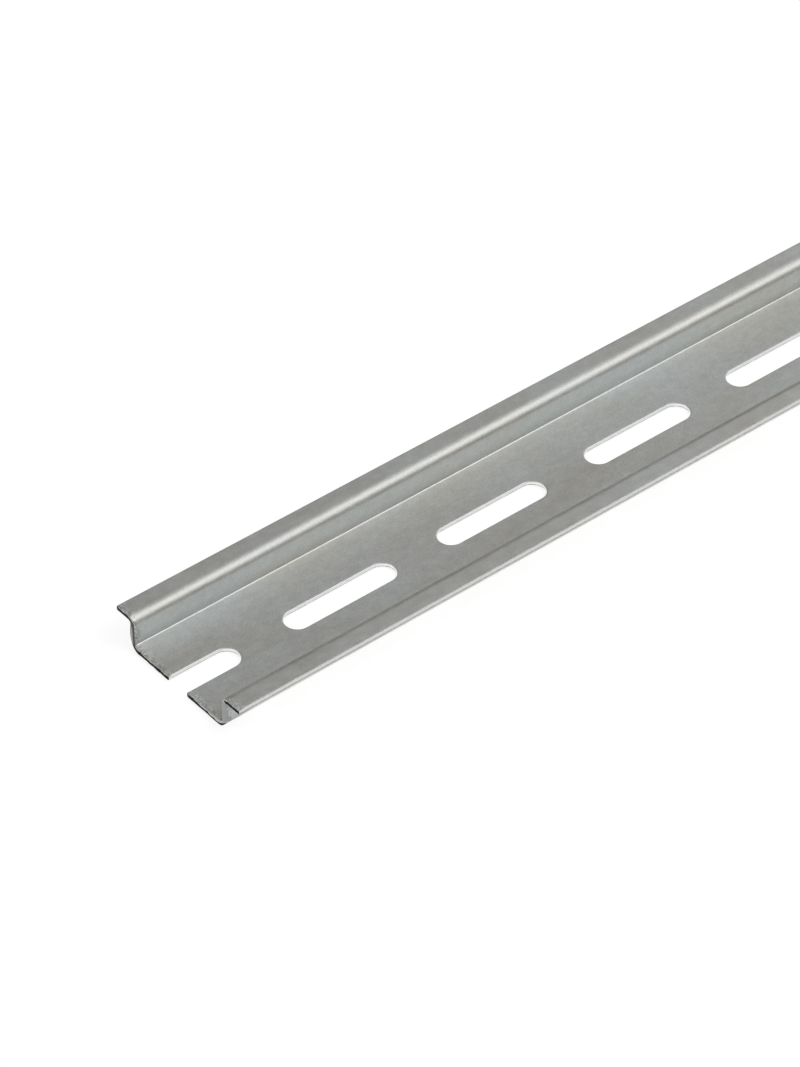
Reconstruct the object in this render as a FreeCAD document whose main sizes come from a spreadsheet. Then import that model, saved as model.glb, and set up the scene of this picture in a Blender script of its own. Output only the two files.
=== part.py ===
import FreeCAD, Part
import math
import os
import Sketcher

# A top-hat mounting rail, cold rolled from one steel strip and punched with a row of slots.
# All sizes are in millimetres. X runs along the rail, Y across it and Z up.
# The web lies flat on Z = 0, the channel opens upwards and the two lips stand out at its top.
# The origin is the middle of the web's underside.

SIZES = {
    "rail_length": (1000.0, "cut length of the bar"),
    "rail_width": (35.0, "over the edges of the two lips"),
    "channel_width": (27.0, "over the outer faces of the two walls"),
    "rail_height": (7.5, "from the web's underside to the top of the lips"),
    "strip_thickness": (1.0, "thickness of the steel strip"),
    "bend_radius": (0.8, "inner radius of the four bends"),
    "slot_length": (25.0, "slot from end to end"),
    "slot_width": (5.2, "slot across, the same as the diameter of its ends"),
    "slot_pitch": (36.0, "from the centre of one slot to the next"),
    "end_slot_offset": (1.0, "from the cut end at -X to the centre of the slot that it cuts"),
}

# How a sketch numbers the ends and the centre of an edge, and its own axes and origin.
START, END, CENTRE = 1, 2, 3
X_AXIS, Y_AXIS = -1, -2
ORIGIN = (X_AXIS, START)


def make_sizes(doc):
    """The sheet of driving dimensions: name, value and meaning in columns A, B and C."""
    sheet = doc.addObject("Spreadsheet::Sheet", "sizes")
    for row, (name, (value, meaning)) in enumerate(SIZES.items(), start=1):
        sheet.set(f"A{row}", name)
        sheet.set(f"B{row}", str(value))
        sheet.set(f"C{row}", meaning)
        sheet.setAlias(f"B{row}", name)
    doc.recompute()
    return sheet


def origin_feature(body, role):
    """One of the body's own origin planes or axes."""
    for feature in body.Origin.OriginFeatures:
        if feature.Role == role:
            return feature
    raise RuntimeError(f"{body.Label} has no {role}")


def new_sketch(body, name, plane):
    """An empty sketch on one of the body's origin planes."""
    sketch = body.newObject("Sketcher::SketchObject", name)
    sketch.AttachmentSupport = [(origin_feature(body, plane), "")]
    sketch.MapMode = "FlatFace"
    return sketch


def constrain(sketch, *terms):
    """Add one constraint and return its index."""
    return sketch.addConstraint(Sketcher.Constraint(*terms))


def add_size(sketch, name, expression, *terms):
    """Add a dimension under its own name and bind it to the sheet."""
    index = constrain(sketch, *terms)
    sketch.renameConstraint(index, name)
    sketch.setExpression(f"Constraints.{name}", expression)


def add_arc(sketch, centre, radius, start_angle, sweep):
    """An arc that runs anticlockwise from its start angle; returns its index."""
    circle = Part.Circle(centre, FreeCAD.Vector(0, 0, 1), radius)
    return sketch.addGeometry(Part.ArcOfCircle(circle, start_angle, start_angle + sweep), False)


def add_corner(sketch, corner, incoming, outgoing, radius):
    """A quarter arc that rounds a corner of an outline.

    Returns its index, its end on the incoming edge and its end on the outgoing edge.
    """
    centre = corner - incoming * radius + outgoing * radius
    turns_left = incoming.cross(outgoing).z > 0
    spoke = outgoing * -1 if turns_left else incoming
    arc = add_arc(sketch, centre, radius, math.atan2(spoke.y, spoke.x), math.pi / 2)
    return (arc, START, END) if turns_left else (arc, END, START)


def draw_outline(sketch, corners, radii):
    """A closed outline of level and upright edges, each corner sharp or rounded.

    A corner is (x, y, bend, name of the edge that leaves it), and radii gives each bend's radius.
    Returns the edges by name and the arcs by bend.
    """
    count = len(corners)
    points = [FreeCAD.Vector(x, y, 0) for x, y, bend, name in corners]
    bends = [bend for x, y, bend, name in corners]
    names = [name for x, y, bend, name in corners]
    directions = [(points[(i + 1) % count] - points[i]).normalize() for i in range(count)]

    edges = {}
    for i in range(count):
        after = (i + 1) % count
        start = points[i] + directions[i] * radii[bends[i]]
        end = points[after] - directions[i] * radii[bends[after]]
        edges[names[i]] = sketch.addGeometry(Part.LineSegment(start, end), False)

    arcs = {bend: [] for bend in radii}
    for i in range(count):
        incoming = edges[names[i - 1]]
        outgoing = edges[names[i]]
        radius = radii[bends[i]]
        if radius == 0:
            constrain(sketch, "Coincident", incoming, END, outgoing, START)
            continue
        arc, entry, leave = add_corner(sketch, points[i], directions[i - 1], directions[i], radius)
        constrain(sketch, "Tangent", incoming, END, arc, entry)
        constrain(sketch, "Tangent", arc, leave, outgoing, START)
        arcs[bends[i]].append(arc)
    return edges, arcs


def draw_section(sketch, sheet):
    """The cross-section: web, two walls and two lips of one strip, with concentric bends.

    The sketch's x is the rail's Y and its y is the rail's Z.
    """
    thickness = sheet.strip_thickness
    lip = sheet.rail_width / 2
    wall = sheet.channel_width / 2
    top = sheet.rail_height
    radii = {"sharp": 0, "inner": sheet.bend_radius, "outer": sheet.bend_radius + thickness}
    edges, arcs = draw_outline(sketch, [
        (lip, top - thickness, "sharp", "right_lip_edge"),
        (lip, top, "sharp", "right_lip_top"),
        (wall - thickness, top, "outer", "right_wall_inside"),
        (wall - thickness, thickness, "inner", "web_top"),
        (thickness - wall, thickness, "inner", "left_wall_inside"),
        (thickness - wall, top, "outer", "left_lip_top"),
        (-lip, top, "sharp", "left_lip_edge"),
        (-lip, top - thickness, "sharp", "left_lip_underside"),
        (-wall, top - thickness, "inner", "left_wall_outside"),
        (-wall, 0, "outer", "web_underside"),
        (wall, 0, "outer", "right_wall_outside"),
        (wall, top - thickness, "inner", "right_lip_underside"),
    ], radii)

    for side in ("right", "left"):
        for level in ("lip_top", "lip_underside"):
            constrain(sketch, "Horizontal", edges[f"{side}_{level}"])
        for upright in ("lip_edge", "wall_inside", "wall_outside"):
            constrain(sketch, "Vertical", edges[f"{side}_{upright}"])
    for level in ("web_top", "web_underside"):
        constrain(sketch, "Symmetric", edges[level], START, edges[level], END, Y_AXIS)
    right_edge = edges["right_lip_edge"]
    left_edge = edges["left_lip_edge"]
    constrain(sketch, "Symmetric", right_edge, END, left_edge, START, Y_AXIS)
    constrain(sketch, "Equal", right_edge, left_edge)
    underside = edges["web_underside"]
    constrain(sketch, "PointOnObject", underside, START, X_AXIS)

    for bend, expression in (
        ("inner", "sizes.bend_radius"),
        ("outer", "sizes.bend_radius + sizes.strip_thickness"),
    ):
        first, *others = arcs[bend]
        for other in others:
            constrain(sketch, "Equal", first, other)
        add_size(sketch, f"{bend}_radius", expression, "Radius", first, radii[bend])

    right_outside = edges["right_wall_outside"]
    right_inside = edges["right_wall_inside"]
    left_outside = edges["left_wall_outside"]
    add_size(sketch, "rail_width", "sizes.rail_width",
             "DistanceX", left_edge, START, right_edge, END, 2 * lip)
    add_size(sketch, "channel_width", "sizes.channel_width",
             "DistanceX", left_outside, START, right_outside, START, 2 * wall)
    add_size(sketch, "rail_height", "sizes.rail_height",
             "DistanceY", underside, START, right_edge, END, top)
    add_size(sketch, "web_thickness", "sizes.strip_thickness",
             "DistanceY", underside, START, edges["web_top"], START, thickness)
    add_size(sketch, "wall_thickness", "sizes.strip_thickness",
             "DistanceX", right_inside, START, right_outside, START, thickness)
    add_size(sketch, "lip_thickness", "sizes.strip_thickness",
             "DistanceY", right_edge, START, right_edge, END, thickness)


def draw_slot(sketch, sheet):
    """A round-ended slot along X, centred on the sketch's origin."""
    radius = sheet.slot_width / 2
    reach = sheet.slot_length / 2 - radius
    right = add_arc(sketch, FreeCAD.Vector(reach, 0, 0), radius, -math.pi / 2, math.pi)
    left = add_arc(sketch, FreeCAD.Vector(-reach, 0, 0), radius, math.pi / 2, math.pi)
    upper = sketch.addGeometry(Part.LineSegment(
        FreeCAD.Vector(reach, radius, 0), FreeCAD.Vector(-reach, radius, 0)), False)
    lower = sketch.addGeometry(Part.LineSegment(
        FreeCAD.Vector(-reach, -radius, 0), FreeCAD.Vector(reach, -radius, 0)), False)
    loop = (right, upper, left, lower)
    for edge, following in zip(loop, loop[1:] + loop[:1]):
        constrain(sketch, "Tangent", edge, END, following, START)
    constrain(sketch, "Equal", right, left)
    constrain(sketch, "Symmetric", left, CENTRE, right, CENTRE, *ORIGIN)
    constrain(sketch, "PointOnObject", right, CENTRE, X_AXIS)
    add_size(sketch, "end_radius", "sizes.slot_width / 2", "Radius", right, radius)
    add_size(sketch, "centre_distance", "sizes.slot_length - sizes.slot_width",
             "DistanceX", left, CENTRE, right, CENTRE, 2 * reach)


def make_rail(doc, sheet):
    """The whole rail: the section drawn out to its length, then the row of slots."""
    rail = doc.addObject("PartDesign::Body", "slotted_rail")
    rail.Label = "slotted_rail"

    section = new_sketch(rail, "section", "YZ_Plane")
    draw_section(section, sheet)
    bar = rail.newObject("PartDesign::Pad", "bar")
    bar.Profile = section
    bar.SideType = "Symmetric"
    bar.setExpression("Length", "sizes.rail_length")
    doc.recompute()

    # The first slot is the one that the near end cuts through. Punching runs up through the web.
    slot = new_sketch(rail, "slot", "XY_Plane")
    slot.setExpression(".AttachmentOffset.Base.x", "sizes.end_slot_offset - sizes.rail_length / 2")
    draw_slot(slot, sheet)
    punch = rail.newObject("PartDesign::Pocket", "punch")
    punch.Profile = slot
    punch.Type = "ThroughAll"
    punch.Reversed = True
    doc.recompute()

    # The row goes on until a slot would lie wholly past the far end.
    slots = rail.newObject("PartDesign::LinearPattern", "slots")
    slots.Originals = [punch]
    slots.Direction = (origin_feature(rail, "X_Axis"), [""])
    slots.Mode = "Spacing"
    slots.setExpression("Offset", "sizes.slot_pitch")
    slots.setExpression("Occurrences", "ceil((sizes.rail_length - sizes.end_slot_offset"
                                       " + sizes.slot_length / 2) / sizes.slot_pitch)")
    rail.Tip = slots
    rail.Placement = FreeCAD.Placement()
    doc.recompute()

    # Every slot takes metal out of the web, so each step leaves less than the one before.
    if not slots.Shape.Volume < punch.Shape.Volume < bar.Shape.Volume:
        raise RuntimeError("the slots do not cut the web")
    return rail


def check(doc, rail):
    """Stop if any object failed or the rail isn't one sound solid."""
    for item in doc.Objects:
        if "Invalid" in item.State or "Error" in item.State:
            raise RuntimeError(f"{item.Label} failed: {item.State}")
    if rail.Shape.isNull() or not rail.Shape.isValid() or len(rail.Shape.Solids) != 1:
        raise RuntimeError(f"{rail.Label} is not one valid solid")


document = FreeCAD.newDocument("din_rail")
sizes = make_sizes(document)
slotted_rail = make_rail(document, sizes)
check(document, slotted_rail)
os.makedirs("parts", exist_ok=True)
slotted_rail.Shape.exportStep(f"parts/{slotted_rail.Label}.step")
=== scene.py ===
import math

import bpy
from mathutils import Matrix, Vector, noise


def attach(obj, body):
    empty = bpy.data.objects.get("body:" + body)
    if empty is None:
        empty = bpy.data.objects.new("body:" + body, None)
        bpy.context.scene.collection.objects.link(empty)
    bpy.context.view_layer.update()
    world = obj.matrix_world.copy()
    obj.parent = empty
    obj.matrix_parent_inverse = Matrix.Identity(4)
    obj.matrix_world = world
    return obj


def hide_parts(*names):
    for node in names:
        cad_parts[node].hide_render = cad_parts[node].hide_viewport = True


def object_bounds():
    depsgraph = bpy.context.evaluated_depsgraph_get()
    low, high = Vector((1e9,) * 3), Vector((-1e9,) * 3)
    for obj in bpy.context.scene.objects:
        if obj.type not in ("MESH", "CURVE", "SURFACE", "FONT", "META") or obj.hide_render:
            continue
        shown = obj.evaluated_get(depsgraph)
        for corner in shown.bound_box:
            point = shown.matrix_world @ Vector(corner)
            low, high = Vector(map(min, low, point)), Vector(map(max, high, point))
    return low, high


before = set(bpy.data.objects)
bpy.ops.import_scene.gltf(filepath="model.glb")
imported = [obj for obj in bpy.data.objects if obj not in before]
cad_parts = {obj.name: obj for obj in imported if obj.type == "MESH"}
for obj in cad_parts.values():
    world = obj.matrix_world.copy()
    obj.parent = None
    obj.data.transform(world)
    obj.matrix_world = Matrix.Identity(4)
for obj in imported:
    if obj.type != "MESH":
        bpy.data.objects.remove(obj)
cad_low, cad_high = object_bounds()

# Lengths are in millimetres, apart from the studio's, which are in metres.
MM = 0.001

# The rail: X along it, Y across it, Z up, with the web's underside on Z = 0.
HALF_LENGTH = cad_high.x / MM
LIP_REACH = cad_high.y / MM
RAIL_TOP = cad_high.z / MM
WALL_REACH = 13.5
STRIP = 1.0
BEND_INNER = 0.8
BEND_OUTER = BEND_INNER + STRIP
LOWER_BEND_OUTER = 2.1

# The web rises a little towards each wall and meets it in a tight corner.
RAMP_LENGTH = 3.3
RAMP_ANGLE = math.radians(11)
CORNER_RADIUS = 0.3

# The slots. The end at negative X cuts through the first one, just before its middle.
SLOT_HALF_WIDTH = 2.6
SLOT_HALF_LENGTH = 12.5
SLOT_PITCH = 36.0
FIRST_SLOT_OFFSET = 1.0
FIRST_SLOT = FIRST_SLOT_OFFSET - HALF_LENGTH
SLOT_COUNT = 29

# The centres of the bends at positive Y, as (y, z).
LOWER_BEND_CENTRE = Vector((WALL_REACH - LOWER_BEND_OUTER, LOWER_BEND_OUTER))
UPPER_BEND_CENTRE = Vector((WALL_REACH + BEND_INNER, RAIL_TOP - BEND_OUTER))

# How fine the mesh is, and the gaps that its flat stretches leave beside bends and edges.
BEND_STEPS = 14
SLOT_ARC_STEPS = 14
FLAT_STEP = 0.6
SLOT_STEP = 0.6
BEND_GAP = 0.35
UNDERSIDE_GAP = 0.1
LIP_EDGE_GAP = 0.7
END_GAP = 0.05

# The flat faces round the slots reach this far from the rail's middle.
SLOT_BAND = 4.0

# Corners that agree to this many decimals are one point of the mesh.
CORNER_DIGITS = 4

# What the punch, the slitter and the shear leave at an edge, from the top face to the underside.
# Each row has its depth in the strip, how far the metal lies back from the nominal cut at a slot,
# at the lip's slit edge and at a sheared end, how uneven it is, and how much more ragged a sheared
# end is. The rows before CUT_STARTS belong to the top face.
CUT_ROWS = (
    (0.000, 0.50, 0.40, 0.50, 0.000, 0.00),
    (0.000, 0.26, 0.12, 0.26, 0.000, 0.00),
    (0.012, 0.16, 0.07, 0.15, 0.000, 0.04),
    (0.040, 0.09, 0.03, 0.08, 0.000, 0.05),
    (0.090, 0.03, 0.01, 0.03, 0.000, 0.05),
    (0.160, 0.00, 0.00, 0.00, 0.000, 0.05),
    (0.400, 0.01, 0.01, 0.01, 0.010, 0.04),
    (0.560, 0.00, 0.00, 0.00, 0.000, 0.05),
    (0.740, 0.06, 0.02, 0.01, 0.020, 0.05),
    (0.880, 0.12, 0.04, 0.01, 0.020, 0.06),
    (0.950, 0.17, 0.06, 0.01, 0.015, 0.07),
    (1.000, 0.26, 0.12, 0.00, 0.000, 0.08),
    (1.000, 0.50, 0.40, 0.45, 0.000, 0.00),
)
DEPTHS, PUNCH_BACK, SLIT_BACK, SHEAR_BACK, UNEVEN, RAGGED = zip(*CUT_ROWS)
ROWS = range(len(CUT_ROWS))
LAST_ROW = ROWS[-1]
CUT_STARTS = 3

# The noise that makes an edge uneven has this grain and seed, and the noise that makes an end
# ragged has its own grain and stays this near the end.
TEAR_SIZE = 0.7
TEAR_SEED = 1
RAG_SIZE = 1.3
RAGGED_LENGTH = 1.0

# The shear also spread the outer side of the far wall, within this length of each end.
RIM_LENGTH = 1.5
SPREAD = 0.25
SPREAD_MIDDLE = 4.0
SPREAD_HALF_HEIGHT = 2.5

# The finishes, by their places among the rail's materials.
PLATED, PUNCHED, SHEARED = 0, 1, 2


def steps(start, end, step):
    """Evenly spaced values from start up to, but without, end."""
    count = max(1, math.ceil(abs(end - start) / step))
    return [start + (end - start) * i / count for i in range(count)]


def section_columns():
    """Pairs of points (y, z) on the strip's top face and underside, from the slots to the lip."""
    lower, upper = LOWER_BEND_CENTRE, UPPER_BEND_CENTRE
    ramp_radius = RAMP_LENGTH / math.sin(RAMP_ANGLE)
    corner_y = WALL_REACH - STRIP - CORNER_RADIUS * (1 - math.sin(RAMP_ANGLE))
    corner_z = STRIP + ramp_radius * (1 - math.cos(RAMP_ANGLE))
    shares = [i / BEND_STEPS for i in range(BEND_STEPS + 1)]
    columns = []

    # The web, whose top face rises along an arc.
    web_end = corner_y - BEND_GAP
    for y in steps(SLOT_BAND, web_end, FLAT_STEP) + [web_end]:
        along = max(0.0, y - (corner_y - RAMP_LENGTH))
        rise = ramp_radius - math.sqrt(ramp_radius ** 2 - along ** 2)
        under = Vector((min(y, lower.x - UNDERSIDE_GAP), 0))
        columns.append((Vector((y, STRIP + rise)), under))

    # The lower bend: the tight corner above, a wide arc below.
    for share in shares:
        angle = RAMP_ANGLE + (math.pi / 2 - RAMP_ANGLE) * share
        top = Vector((corner_y + CORNER_RADIUS * (math.sin(angle) - math.sin(RAMP_ANGLE)),
                      corner_z + CORNER_RADIUS * (math.cos(RAMP_ANGLE) - math.cos(angle))))
        angle = math.pi / 2 * share
        spoke = Vector((math.sin(angle), -math.cos(angle)))
        columns.append((top, lower + spoke * LOWER_BEND_OUTER))

    # The wall, the upper bend and the lip.
    wall_start, wall_end = lower.y + BEND_GAP, upper.y - BEND_GAP
    for z in steps(wall_start, wall_end, FLAT_STEP) + [wall_end]:
        columns.append((Vector((WALL_REACH - STRIP, z)), Vector((WALL_REACH, z))))
    for share in shares:
        angle = math.pi / 2 * share
        spoke = Vector((-math.cos(angle), math.sin(angle)))
        columns.append((upper + spoke * BEND_OUTER, upper + spoke * BEND_INNER))
    lip_end = LIP_REACH - LIP_EDGE_GAP
    for y in steps(upper.x + BEND_GAP, lip_end, FLAT_STEP) + [lip_end]:
        columns.append((Vector((y, RAIL_TOP)), Vector((y, RAIL_TOP - STRIP))))
    return columns


def end_face_columns():
    """The cut end as columns of points (y, z), each with one point for every row of CUT_ROWS."""
    slot_side = [(SLOT_HALF_WIDTH + back, STRIP * (1 - deep))
                 for back, deep in zip(PUNCH_BACK, DEPTHS)]
    lip_side = [(LIP_REACH - back, RAIL_TOP - STRIP * deep)
                for back, deep in zip(SLIT_BACK, DEPTHS)]
    between = [[tuple(top.lerp(under, deep)) for deep in DEPTHS]
               for top, under in section_columns()]
    return [slot_side] + between + [lip_side]


def cut_station(x, row):
    """Where a station along the rail lies for a row of CUT_ROWS: set back only at the two ends."""
    if abs(x) < HALF_LENGTH:
        return x
    return math.copysign(HALF_LENGTH - SHEAR_BACK[row], x)


def slot_row(centre, row):
    """The half of a slot's outline with Y above 0 as points (x, y), from its left to its right.

    A slot that an end of the rail cuts through stops at that end.
    """
    radius = SLOT_HALF_WIDTH + PUNCH_BACK[row]
    reach = SLOT_HALF_LENGTH - SLOT_HALF_WIDTH
    arc = [math.pi / 2 * i / SLOT_ARC_STEPS for i in range(SLOT_ARC_STEPS + 1)]
    left, right = centre - reach, centre + reach
    points = [(left - radius * math.cos(a), radius * math.sin(a)) for a in arc]
    points += [(x, radius) for x in steps(left, right, SLOT_STEP)[1:]]
    points += [(right + radius * math.sin(a), radius * math.cos(a)) for a in arc]
    limit = HALF_LENGTH - SHEAR_BACK[0] - END_GAP
    kept = [(x, y) for x, y in points if abs(x) < limit]
    if points[0][0] < -HALF_LENGTH:
        kept.insert(0, (cut_station(-HALF_LENGTH, row), radius))
    if points[-1][0] > HALF_LENGTH:
        kept.append((cut_station(HALF_LENGTH, row), radius))
    return kept


def cut_finish(row, finish):
    """The finish of the band below a row of CUT_ROWS, at an edge with this finish.

    The bands above the cut are plated, and so is the last one of a punched edge.
    """
    if row < CUT_STARTS or (finish == PUNCHED and row == LAST_ROW - 1):
        return PLATED
    return finish


def skin_faces(columns, stations):
    """The faces along the rail: top face outwards, lip edge downwards, underside back."""
    around = [(column, 0) for column in range(1, len(columns) - 1)]
    around += [(len(columns) - 1, row) for row in ROWS]
    around += [(column, LAST_ROW) for column in range(len(columns) - 2, 0, -1)]
    loops = [[(cut_station(x, row), *columns[column][row], row) for column, row in around]
             for x in stations]
    faces = []
    for here, there in zip(loops, loops[1:]):
        for i in range(len(around) - 1):
            row, next_row = around[i][1], around[i + 1][1]
            finish = PLATED if row == next_row else cut_finish(row, PUNCHED)
            faces.append(([here[i], there[i], there[i + 1], here[i + 1]], finish))
    return faces


def end_faces(columns, end):
    """The faces of the cut end at this x, turned outwards."""
    grid = [[(cut_station(end, row), *column[row], row) for row in ROWS] for column in columns]
    faces = []
    for one, other in zip(grid, grid[1:]):
        for row in ROWS[:-1]:
            corners = [one[row], other[row], other[row + 1], one[row + 1]]
            faces.append((corners if end < 0 else corners[::-1], cut_finish(row, SHEARED)))
    return faces


def slot_faces(centre, left, right, stations):
    """A slot's wall, and the flat faces round it above and below, between two borders."""
    wall = [[(x, y, STRIP * (1 - DEPTHS[row]), row) for x, y in slot_row(centre, row)]
            for row in ROWS]
    faces = []
    for row in ROWS[:-1]:
        upper, lower = wall[row], wall[row + 1]
        for i in range(len(upper) - 1):
            corners = [upper[i], lower[i], lower[i + 1], upper[i + 1]]
            faces.append((corners, cut_finish(row, PUNCHED)))
    for row, level in ((0, STRIP), (LAST_ROW, 0.0)):
        face = [(left, 0, level, row)] if left > -HALF_LENGTH else []
        face += wall[row]
        face += [(right, 0, level, row)] if right < HALF_LENGTH else []
        face += [(cut_station(x, row), SLOT_BAND, level, row)
                 for x in reversed(stations) if left <= x <= right]
        faces.append((face if row == 0 else face[::-1], PLATED))
    return faces


def half_rail():
    """The faces of the half with Y above 0, each as (corners, finish).

    A corner is (x, y, z, row of CUT_ROWS).
    """
    columns = end_face_columns()
    centres = [FIRST_SLOT + SLOT_PITCH * k for k in range(SLOT_COUNT)]
    borders = [(a + b) / 2 for a, b in zip(centres, centres[1:])]
    bounds = [-HALF_LENGTH] + borders + [HALF_LENGTH]
    rim = HALF_LENGTH - RIM_LENGTH
    stations = [-HALF_LENGTH, -rim] + borders + [rim, HALF_LENGTH]

    faces = skin_faces(columns, stations)
    for end in (-HALF_LENGTH, HALF_LENGTH):
        faces += end_faces(columns, end)
    for centre, left, right in zip(centres, bounds, bounds[1:]):
        faces += slot_faces(centre, left, right, stations)
    return faces


def torn(place, row):
    """A point of the rail, moved a little where the metal tore instead of being cut."""
    moved = place + noise.noise_vector(place / TEAR_SIZE) * UNEVEN[row]
    if abs(place.x) > HALF_LENGTH - RAGGED_LENGTH:
        share = min(1, max(0, 0.5 + noise.noise(place / RAG_SIZE)))
        moved.x -= math.copysign(RAGGED[row] * share, place.x)
        if place.y > WALL_REACH - STRIP:
            bulge = max(0, 1 - ((place.z - SPREAD_MIDDLE) / SPREAD_HALF_HEIGHT) ** 2)
            moved.y += SPREAD * bulge * DEPTHS[row]
    return moved


def strip_depth(y, z):
    """How deep a point of the section lies in the strip: 0 at its top face, 1 at its underside."""
    y = abs(y)
    lower, upper = LOWER_BEND_CENTRE, UPPER_BEND_CENTRE
    if y <= lower.x:
        under = z
    elif z <= lower.y:
        under = LOWER_BEND_OUTER - (Vector((y, z)) - lower).length
    elif z <= upper.y:
        under = WALL_REACH - y
    elif y <= upper.x:
        under = (Vector((y, z)) - upper).length - BEND_INNER
    else:
        under = z - (RAIL_TOP - STRIP)
    return 1 - under / STRIP


# The mesh tells the finishes how deep each point lies in the strip.
DEPTH_ATTRIBUTE = "depth"


def rail_mesh():
    """The whole rail as one closed mesh: the half and its mirror image, joined."""
    # Blender takes a seed for noise_vector from the clock unless it is given one.
    noise.seed_set(TEAR_SEED)
    numbers = {}
    polygons, finishes = [], []

    def number(corner, side):
        """The number of the point at a corner, which is new if no corner was there yet."""
        x, y, z, row = corner
        place = torn(Vector((x, side * y, z)), row)
        key = tuple(round(value, CORNER_DIGITS) for value in place)
        return numbers.setdefault(key, len(numbers))

    for corners, finish in half_rail():
        for side in (1, -1):
            polygon = [number(corner, side) for corner in corners]
            polygon = [v for i, v in enumerate(polygon) if v != polygon[i - 1]]
            if len(polygon) > 2:
                polygons.append(polygon[::side])
                finishes.append(finish)
    mesh = bpy.data.meshes.new("zinc_rail")
    mesh.from_pydata([Vector(place) * MM for place in numbers], [], polygons)
    mesh.polygons.foreach_set("material_index", finishes)
    mesh.polygons.foreach_set("use_smooth", [True] * len(polygons))
    depths = mesh.attributes.new(DEPTH_ATTRIBUTE, "FLOAT", "POINT")
    depths.data.foreach_set("value", [strip_depth(y, z) for x, y, z in numbers])
    mesh.update()
    return mesh


class Nodes:
    """Short ways to build a node tree. A value is a number or another node's output."""

    def __init__(self, tree):
        self.tree = tree
        tree.nodes.clear()

    def add(self, kind, settings=None, **inputs):
        """A node with its settings and inputs.

        An input goes by its name in lower case with _ for spaces, or by its number as in_0.
        """
        node = self.tree.nodes.new(kind)
        for name, value in (settings or {}).items():
            setattr(node, name, value)
        for name, value in inputs.items():
            socket = self.socket(node, name)
            if isinstance(value, bpy.types.NodeSocket):
                self.tree.links.new(value, socket)
            else:
                socket.default_value = value
        return node

    @staticmethod
    def socket(node, name):
        if name.startswith("in_"):
            return node.inputs[int(name.removeprefix("in_"))]
        return next(s for s in node.inputs if s.name.lower().replace(" ", "_") == name)

    def axes(self, where):
        """The X, Y and Z of a place."""
        return tuple(self.add("ShaderNodeSeparateXYZ", vector=where).outputs)

    def depth(self):
        """How deep a point lies in the strip, as the mesh says."""
        settings = {"attribute_name": DEPTH_ATTRIBUTE}
        return self.add("ShaderNodeAttribute", settings).outputs["Fac"]

    def math(self, operation, *values):
        """The result of a math node."""
        inputs = {f"in_{i}": value for i, value in enumerate(values)}
        return self.add("ShaderNodeMath", {"operation": operation}, **inputs).outputs[0]

    def chain(self, operation, first, *others):
        """An operation on two values at a time, from left to right."""
        for other in others:
            first = self.math(operation, first, other)
        return first

    def plus(self, *values):
        return self.chain("ADD", *values)

    def minus(self, *values):
        return self.chain("SUBTRACT", *values)

    def times(self, *values):
        return self.chain("MULTIPLY", *values)

    def noise(self, where, stretch, detail=3.0, roughness=0.55):
        """Noise of about 0 to 1 whose grains are as long, in millimetres, as stretch says."""
        scale = [1 / (MM * length) for length in stretch]
        place = self.add("ShaderNodeMapping", vector=where, scale=scale).outputs[0]
        return self.add("ShaderNodeTexNoise", vector=place, scale=1.0, detail=detail,
                        roughness=roughness).outputs["Fac"]

    def spread(self, value, low, high, to_low, to_high):
        """Map low..high of a value to to_low..to_high, clamped."""
        return self.add("ShaderNodeMapRange", value=value, from_min=low, from_max=high,
                        to_min=to_low, to_max=to_high).outputs[0]

    def vary(self, value, to_low, to_high):
        """Map the usual range of noise to to_low..to_high, clamped."""
        return self.spread(value, 0.3, 0.7, to_low, to_high)

    def ramp(self, place, start, end, to_start=0, to_end=1):
        """A slope from to_start to to_end between two places in millimetres, level beyond them."""
        return self.spread(place, start * MM, end * MM, to_start, to_end)

    def window(self, place, marks):
        """1 between the middle two of four marks in millimetres, and 0 outside the outer two."""
        start, full, fading, end = marks
        return self.times(self.ramp(place, start, full), self.ramp(place, fading, end, 1, 0))

    def mix(self, share, first, second, blend="MIX"):
        """Two colours mixed by a share. They go in at inputs 6 and 7 and come out at output 2."""
        return self.add("ShaderNodeMix", {"data_type": "RGBA", "blend_type": blend},
                        in_0=share, in_6=first, in_7=second).outputs[2]

    def shaded(self, colour, shade):
        """A colour multiplied by a number."""
        return self.mix(1.0, colour, shade, "MULTIPLY")


def rgb(red, green, blue):
    """A colour as a socket takes it, from linear red, green and blue."""
    return (red, green, blue, 1.0)


# The metal's colours. Each pair is mixed by noise.
WARM_ZINC, COOL_ZINC = rgb(0.645, 0.628, 0.587), rgb(0.616, 0.648, 0.651)
PUNCHED_SMOOTH = rgb(0.58, 0.58, 0.57), rgb(0.68, 0.68, 0.67)
PUNCHED_BROKEN = rgb(0.20, 0.20, 0.195), rgb(0.38, 0.38, 0.37)
SHEARED_SMOOTH = rgb(0.36, 0.36, 0.35), rgb(0.62, 0.62, 0.61)
# The broken steel of a sheared end is painted near black: its own dark fracture and painted shade.
SHEARED_BROKEN_AND_SHADE = rgb(0.010, 0.010, 0.009), rgb(0.07, 0.068, 0.064)
WALL_END_SMOOTH = rgb(0.33, 0.33, 0.32)
WALL_END_BROKEN = rgb(0.17, 0.17, 0.165)

# Where the finishes differ, and where shade is painted on the walls, as bands of height. Each comes
# in between its first two marks and goes out between its last two.
WALL_FACE = (1.2, 2.2, 5.0, 6.5)
PAINTED_SHADE_OUTSIDE = (1.0, 2.2, 5.9, 6.4)
PAINTED_SHADE_FOOT = (1.4, 1.8, 2.3, 3.6)
INSIDE_CORNER = (1.10, 1.22, 1.45, 1.85)
WALL_END = (1.0, 1.8, 6.1, 6.7)
WALL_END_BURR = (0.9, 1.9, 4.6, 5.8)

# The torn wall begins between these two places across the rail.
TORN_WALL = (10, 12)


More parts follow.
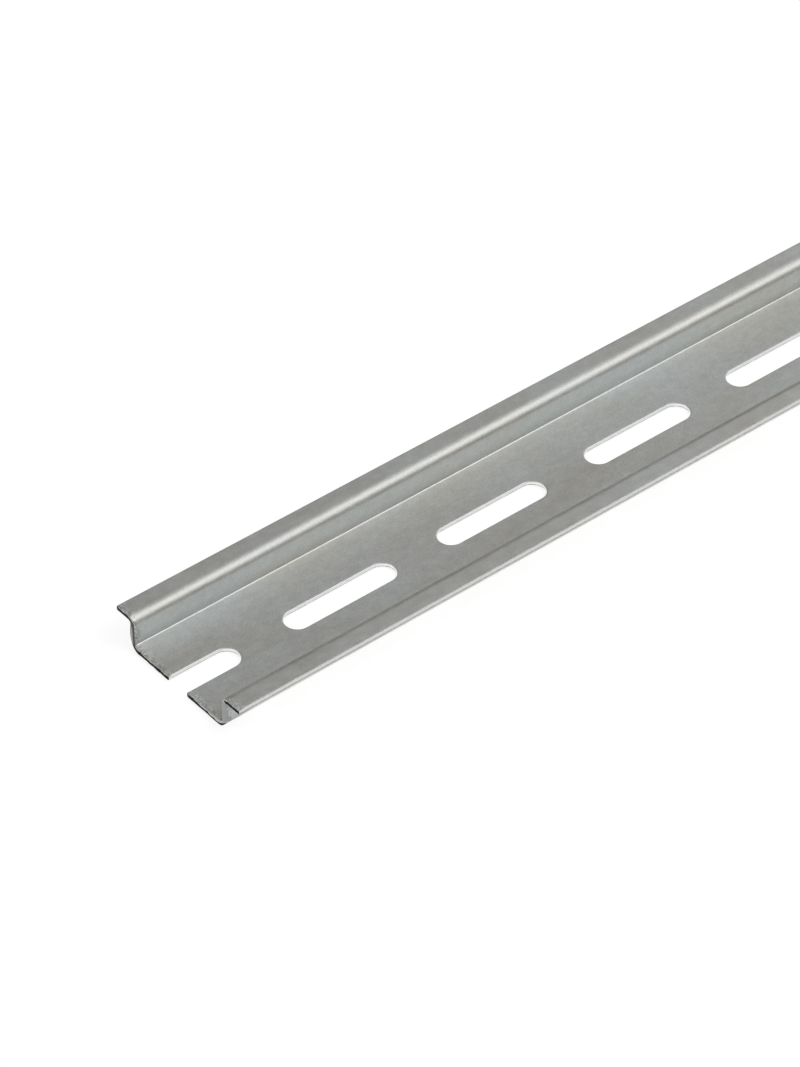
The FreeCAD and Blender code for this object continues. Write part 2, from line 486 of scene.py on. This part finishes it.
def plated_marks_and_shade(n, where, place, on_wall):
    """How much lighter or darker the plating is in some places, as a share of its shade; part of it
    is painted shade.
    """
    along, across, height = place

    # Dents beside a sheared end, which are darker on the wall, and a few specks everywhere.
    specks = n.noise(where, (0.4, 0.4, 0.4), detail=1.0)
    dents = n.minus(n.spread(specks, 0.40, 0.60, -0.25, 0.30), n.times(on_wall, 0.3))
    dents = n.times(dents, n.ramp(along, HALF_LENGTH - 1.8, HALF_LENGTH - 0.2))
    dots = n.minus(n.spread(specks, 0.79, 0.84, 0, 0.45), n.spread(specks, 0.18, 0.24, 0.25, 0))

    # The outside of the lower bends is made lighter along most of the rail, and darker beside a
    # sheared end as painted shade where the bend meets the floor.
    lower_bend_tone_and_shade = n.times(n.ramp(height, 1.1, 2.1, 1, 0), n.ramp(across, 12.6, 12.9),
                     n.ramp(along, HALF_LENGTH - 7, HALF_LENGTH - 3, 0.2, -0.35))

    # The walls are painted darker outside, as painted shade under the lips, and low down, as
    # painted shade above the inside corner; the lips' top faces are a little lighter.
    outside = n.times(n.window(height, PAINTED_SHADE_OUTSIDE), n.ramp(across, 13.1, 13.3))
    foot = n.window(height, PAINTED_SHADE_FOOT)
    lip_top = n.ramp(height, 7.0, 7.4, 0, 0.03)
    marks = n.minus(n.plus(dents, dots, lower_bend_tone_and_shade), n.times(outside, 0.18), n.times(foot, 0.12))
    return n.plus(marks, lip_top)


def plated_face(n, where):
    """Bright zinc on cold rolled strip: satin, mottled, with faint rolling lines along the rail."""
    x, y, height = n.axes(where)
    along, across = n.math("ABSOLUTE", x), n.math("ABSOLUTE", y)
    clouds = n.noise(where, (26, 8, 8), detail=3.0)
    mottle = n.noise(where, (2.2, 1.4, 1.4), detail=3.0, roughness=0.6)
    lines = n.noise(where, (35, 0.45, 0.45), detail=3.0, roughness=0.6)
    grain = n.noise(where, (0.30, 0.22, 0.22), detail=2.0)
    on_wall = n.window(height, WALL_FACE)
    # These marks include painted shade on the walls and on the lower bends.
    marks = plated_marks_and_shade(n, where, (along, across, height), on_wall)

    cool = n.plus(n.spread(clouds, 0.35, 0.65, 0, 0.6), n.times(on_wall, 0.7))
    shade = n.times(n.vary(clouds, 0.95, 1.05), n.vary(mottle, 0.93, 1.06),
                    n.vary(lines, 0.985, 1.015), n.vary(grain, 0.89, 1.09), n.plus(marks, 1.0))
    colour = n.shaded(n.mix(cool, WARM_ZINC, COOL_ZINC), shade)

    # The rolls leave the inside corners smoother.
    corner = n.times(n.window(height, INSIDE_CORNER), n.ramp(across, 12.55, 12.80, 1, 0))
    roughness = n.plus(n.vary(clouds, 0.47, 0.54), n.vary(mottle, -0.03, 0.03))
    roughness = n.minus(roughness, n.times(corner, 0.10))
    relief = n.plus(n.times(lines, 0.22), n.times(grain, 0.5), mottle)
    return colour, roughness, relief


def punched_edge(n, where):
    """A smooth band scored down through the strip, and below it a thin one where it broke away."""
    along, across, _ = n.axes(where)
    scores = n.noise(where, (0.15, 0.15, 2.5), detail=3.0)
    pits = n.noise(where, (0.10, 0.10, 0.10), detail=4.0, roughness=0.65)
    wander = n.noise(where, (1.1, 1.1, 1.1), detail=2.0)
    broken = n.spread(n.plus(n.depth(), n.times(wander, 0.3)), 0.84, 0.91, 0, 1)

    # A slot's wall is lighter: a little all along, as it is burnished, and most of all round its
    # ends, as a painted glint. Its broken band is lighter at the lip's edge and painted darker in a
    # slot, as painted shade at the foot of the slot's wall.
    in_slot = n.ramp(n.math("ABSOLUTE", across), SLOT_BAND, SLOT_BAND + 1, 1, 0)
    from_centre = n.math("PINGPONG", n.minus(along, FIRST_SLOT * MM), SLOT_PITCH / 2 * MM)
    burnish_and_glint = n.times(in_slot, n.ramp(from_centre, 10.2, 11.4, 0.14, 0.40))
    smooth = n.shaded(n.mix(n.vary(scores, 0, 1), *PUNCHED_SMOOTH), n.plus(burnish_and_glint, 1.0))
    rough = n.shaded(n.mix(n.spread(pits, 0.35, 0.65, 0, 1), *PUNCHED_BROKEN),
                     n.spread(in_slot, 0, 1, 1.2, 0.7))
    colour = n.mix(broken, smooth, rough)
    roughness = n.spread(broken, 0, 1, 0.36, 0.58)
    relief = n.plus(n.times(scores, 0.3), n.times(pits, broken))
    return colour, roughness, relief


def sheared_end(n, where):
    """A cut end: light under the top face, then bare steel, broken unevenly and painted near black,
    partly as painted shade.

    The shear came from one side: the wall at negative Y is cut cleanly and the other one is torn.
    """
    _, across, height = n.axes(where)
    depth = n.depth()
    pits = n.noise(where, (0.16, 0.16, 0.12), detail=4.0, roughness=0.65)
    wander = n.noise(where, (1.5, 1.5, 1.5), detail=3.0)
    on_wall = n.window(height, WALL_END)

    # How deep the light part reaches: deepest in the wall that is cut cleanly and beside it.
    clean_web = n.times(n.ramp(across, -12.5, -6.5, 0.38, 0), n.ramp(height, 6.1, 6.7, 1, 0))
    clean_wall = n.times(on_wall, n.ramp(across, -12.5, 12.5, 0.70, -0.30))
    light_depth = n.plus(clean_web, clean_wall, n.ramp(across, -17, 17, 0.32, 0.22))
    past = n.minus(n.plus(depth, n.vary(wander, -0.20, 0.20)), light_depth)

    # The torn wall's underside has a light burr.
    burr = n.times(n.window(height, WALL_END_BURR), n.ramp(across, *TORN_WALL),
                   n.spread(n.plus(depth, n.times(wander, 0.4)), 0.70, 0.80, 0, 1))
    broken = n.minus(n.spread(past, -0.05, 0.05, 0, 1), burr)

    smooth = n.mix(n.spread(pits, 0.35, 0.65, 0, 1), *SHEARED_SMOOTH)
    smooth = n.mix(on_wall, smooth, WALL_END_SMOOTH)
    rough = n.mix(n.spread(pits, 0.45, 0.75, 0, 1), *SHEARED_BROKEN_AND_SHADE)
    rough = n.mix(n.times(on_wall, n.ramp(across, *TORN_WALL, 0, 0.8)), rough, WALL_END_BROKEN)
    colour = n.mix(broken, smooth, rough)
    roughness = n.spread(broken, 0, 1, 0.45, 0.75)
    relief = n.plus(pits, n.times(wander, 2.0))
    return colour, roughness, relief


# The rail's materials in the order of PLATED, PUNCHED and SHEARED: each one's name, the function
# that builds it, and the strength and height of its bumps.
FINISHES = (
    ("zinc_plated_steel", plated_face, 0.25, 0.012),
    ("punched_edge", punched_edge, 0.5, 0.02),
    ("sheared_end", sheared_end, 0.6, 0.03),
)


def metal(name, build, bump_strength, bump_height):
    """A metal whose colour, roughness and relief come from build(nodes, object coordinates)."""
    material = bpy.data.materials.new(name)
    material.use_nodes = True
    n = Nodes(material.node_tree)
    where = n.add("ShaderNodeTexCoord").outputs["Object"]
    colour, roughness, relief = build(n, where)
    bump = n.add("ShaderNodeBump", strength=bump_strength, distance=bump_height * MM,
                 height=relief)
    shader = n.add("ShaderNodeBsdfPrincipled", base_color=colour, metallic=1.0,
                   roughness=roughness, normal=bump.outputs[0])
    n.add("ShaderNodeOutputMaterial", surface=shader.outputs[0])
    return material


def make_rail():
    """The one piece, which stands for the CAD rail."""
    rail = bpy.data.objects.new("zinc_rail", rail_mesh())
    bpy.context.scene.collection.objects.link(rail)
    for finish in FINISHES:
        rail.data.materials.append(metal(*finish))
    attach(rail, "root")
    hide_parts("slotted_rail")


# The studio, in metres: a wide paper floor just under the rail, and a plain room round it. The
# room's light rises from the walls' level to the ceiling's, which it has from CEILING_HEIGHT on,
# where 0 is the horizon and 1 is straight up.
FLOOR_HALF = 30.0
FLOOR_LEVEL = -0.05 * MM
PAPER = rgb(0.36, 0.36, 0.36)
PAPER_GLOW = 0.80
WHITE = rgb(1.0, 1.0, 1.0)
WALL_LEVEL = 0.16
CEILING_LEVEL = 0.35
CEILING_HEIGHT = 0.8

# Each softbox's name, place, size, power in watts and colour. All of them face the origin.
SOFTBOXES = (
    ("key", (0.55, -1.04, 1.43), (1.8, 1.9), 18, (1.0, 1.0, 1.0)),
    ("fill", (-1.9, 0.3, 1.5), (2.0, 2.0), 7, (1.0, 1.0, 1.0)),
    ("back", (1.00, 0.57, 1.14), (0.8, 0.8), 2.2, (0.90, 0.97, 1.0)),
)


def floor_material():
    """Pale paper that keeps shadows; what looks straight at it or mirrors it sees it as white."""
    material = bpy.data.materials.new("studio_paper")
    material.use_nodes = True
    n = Nodes(material.node_tree)
    paper = n.add("ShaderNodeBsdfDiffuse", color=PAPER).outputs[0]
    light_path = n.add("ShaderNodeLightPath").outputs
    seen = n.chain("MAXIMUM", light_path["Is Camera Ray"], light_path["Is Glossy Ray"],
                   light_path["Is Transmission Ray"])
    glow = n.add("ShaderNodeEmission", color=WHITE, strength=n.times(seen, PAPER_GLOW)).outputs[0]
    both = n.add("ShaderNodeAddShader", in_0=paper, in_1=glow).outputs[0]
    n.add("ShaderNodeOutputMaterial", surface=both)
    return material


def make_floor():
    mesh = bpy.data.meshes.new("floor")
    corners = [(x * FLOOR_HALF, y * FLOOR_HALF, FLOOR_LEVEL)
               for x, y in ((-1, -1), (1, -1), (1, 1), (-1, 1))]
    mesh.from_pydata(corners, [], [(0, 1, 2, 3)])
    mesh.materials.append(floor_material())
    floor = bpy.data.objects.new("floor", mesh)
    bpy.context.scene.collection.objects.link(floor)


def make_world():
    """A room with a bright ceiling and dim walls, the same from every side."""
    world = bpy.data.worlds.new("studio")
    world.use_nodes = True
    n = Nodes(world.node_tree)
    direction = n.add("ShaderNodeTexCoord").outputs["Generated"]
    _, _, upward = n.axes(direction)
    level = n.spread(upward, 0.0, CEILING_HEIGHT, WALL_LEVEL, CEILING_LEVEL)
    sky = n.add("ShaderNodeBackground", color=WHITE, strength=level).outputs[0]
    n.add("ShaderNodeOutputWorld", surface=sky)
    bpy.context.scene.world = world


def make_softbox(name, place, size, power, colour):
    """A rectangular lamp that faces the origin."""
    lamp = bpy.data.lights.new(name, "AREA")
    lamp.color = colour
    lamp.shape = "RECTANGLE"
    lamp.size, lamp.size_y = size
    lamp.energy = power
    holder = bpy.data.objects.new(name, lamp)
    holder.location = place
    holder.rotation_mode = "QUATERNION"
    holder.rotation_quaternion = (-Vector(place)).to_track_quat("-Z", "Y")
    bpy.context.scene.collection.objects.link(holder)


# The camera, found from the slots' places in the photograph. Its angles are in degrees, and the
# range that it sees is in metres.
CAMERA_AZIMUTH = -40.268
CAMERA_ELEVATION = 41.298
CAMERA_ROLL = 0.713
CAMERA_DISTANCE = 845.5
CAMERA_TARGET = (-445.292, 4.519, 3.0)
CAMERA_LENS = 156.55
CAMERA_SENSOR = 36.0
CAMERA_RANGE = (0.05, 100.0)


def make_camera():
    """A camera that looks at CAMERA_TARGET from the photograph's viewing angle."""
    azimuth, elevation = math.radians(CAMERA_AZIMUTH), math.radians(CAMERA_ELEVATION)
    level = math.cos(elevation)
    back = Vector((math.sin(azimuth) * level, -math.cos(azimuth) * level, math.sin(elevation)))
    right = Vector((0, 0, 1)).cross(back).normalized()
    up = back.cross(right)
    roll = Matrix.Rotation(math.radians(CAMERA_ROLL), 3, back)
    turned = Matrix((roll @ right, roll @ up, back)).transposed()
    data = bpy.data.cameras.new("camera")
    data.sensor_width = CAMERA_SENSOR
    data.lens = CAMERA_LENS
    data.clip_start, data.clip_end = CAMERA_RANGE
    camera = bpy.data.objects.new("camera", data)
    bpy.context.scene.collection.objects.link(camera)
    place = (Vector(CAMERA_TARGET) + back * CAMERA_DISTANCE) * MM
    camera.matrix_world = Matrix.Translation(place) @ turned.to_4x4()
    bpy.context.scene.camera = camera


make_rail()
make_floor()
make_world()
for softbox in SOFTBOXES:
    make_softbox(*softbox)
make_camera()
bpy.context.scene.view_settings.view_transform = "Standard"
